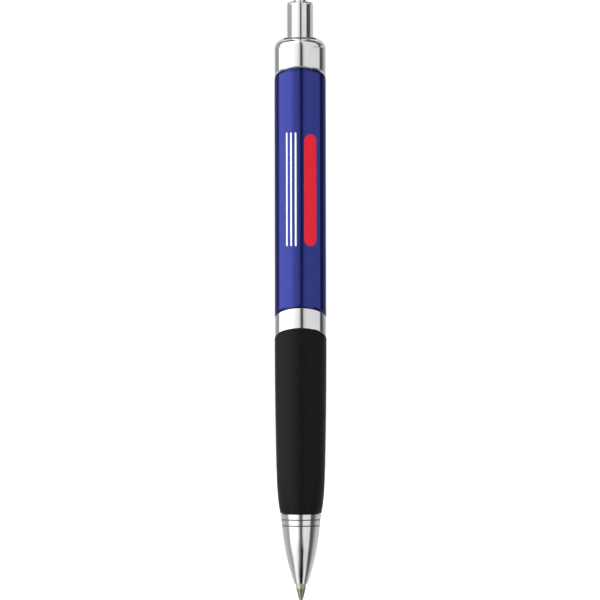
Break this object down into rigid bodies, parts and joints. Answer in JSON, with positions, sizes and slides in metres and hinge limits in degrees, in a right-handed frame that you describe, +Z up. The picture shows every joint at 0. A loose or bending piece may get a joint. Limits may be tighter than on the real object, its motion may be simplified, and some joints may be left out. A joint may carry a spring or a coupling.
{
  "type": "retractable ballpoint pen",
  "caption": "Retractable ballpoint pen with a chrome push button, slanted chrome cap and ring, blue metallic barrel and black rubber grip.",
  "frame": {"origin": "the writing ball's lowest point, on the pen's axis, with the refill out", "axes": "+Z runs up the pen's axis from the tip to the push button, -Y is the front and the pocket clip is at +Y"},
  "size_m": [0.012, 0.0149, 0.1404],
  "materials": {
    "polished_chrome": "polished",
    "blue_lacquer": "glossy metallic lacquer",
    "grip_rubber": "soft matte",
    "turned_brass": "turned",
    "cam_plastic": "moulded",
    "core_plastic": "moulded",
    "clear_plastic": "translucent",
    "blue_ink": "wet",
    "spring_steel": "drawn wire",
    "nickel_silver": "turned",
    "ball_carbide": "ground"
  },
  "bodies": {
    "housing": {"end_cap": "polished_chrome", "cap_bush": "turned_brass", "guide_sleeve": "cam_plastic", "upper_barrel": "blue_lacquer", "centre_ring": "polished_chrome", "joint_sleeve": "turned_brass", "grip_core": "core_plastic", "rubber_grip": "grip_rubber"},
    "clip": {"pocket_clip": "polished_chrome"},
    "button": {"push_button": "polished_chrome", "cam_driver": "cam_plastic"},
    "refill": {"refill_tube": "clear_plastic", "ink_column": "blue_ink", "refill_end_plug": "cam_plastic", "tip_holder": "cam_plastic", "ball_socket": "nickel_silver"},
    "rotor": {"cam_rotor": "cam_plastic"},
    "ball": {"writing_ball": "ball_carbide"},
    "spring": {"return_spring": "spring_steel"},
    "nose": {"nose_cone": "polished_chrome"}
  },
  "joints": [
    {"name": "button_slide", "type": "slide", "parent": "housing", "child": "button", "axis": [0, 0, 1], "range_m": [-0.0014, 0.005], "stiffness_N_per_m": 250},
    {"name": "refill_slide", "type": "slide", "parent": "housing", "child": "refill", "axis": [0, 0, 1], "range_m": [-0.00141, 0.00501], "deforming": ["return_spring"]},
    {"name": "rotor_turn", "type": "hinge", "parent": "refill", "child": "rotor", "pos_m": [0, 0, 0.111], "axis": [0, 0, 1], "range_deg": [-12.7, 45.1]},
    {"name": "ball_roll", "type": "hinge", "parent": "refill", "child": "ball", "pos_m": [0, 0, 0.00035], "axis": [1, 0, 0], "continuous": true},
    {"name": "clip_flex", "type": "hinge", "parent": "housing", "child": "clip", "pos_m": [0, 0.0062, 0.128], "axis": [1, 0, 0], "range_deg": [0, 4], "stiffness_Nm_per_rad": 0.12},
    {"name": "nose_advance", "type": "slide", "parent": "housing", "child": "spring", "axis": [0, 0, -1], "range_m": [0, 0.004]},
    {"name": "nose_unscrew", "type": "hinge", "parent": "spring", "child": "nose", "pos_m": [0, 0, 0.016], "axis": [0, 0, -1], "range_deg": [-0.5, 1440.5]}
  ],
  "couplings": [
    {"joint": "refill_slide", "follows": "button_slide", "ratio": 1},
    {"joint": "rotor_turn", "follows": "button_slide", "rad_per_m": 157.08},
    {"joint": "nose_unscrew", "follows": "nose_advance", "rad_per_m": 6283.2}
  ]
}
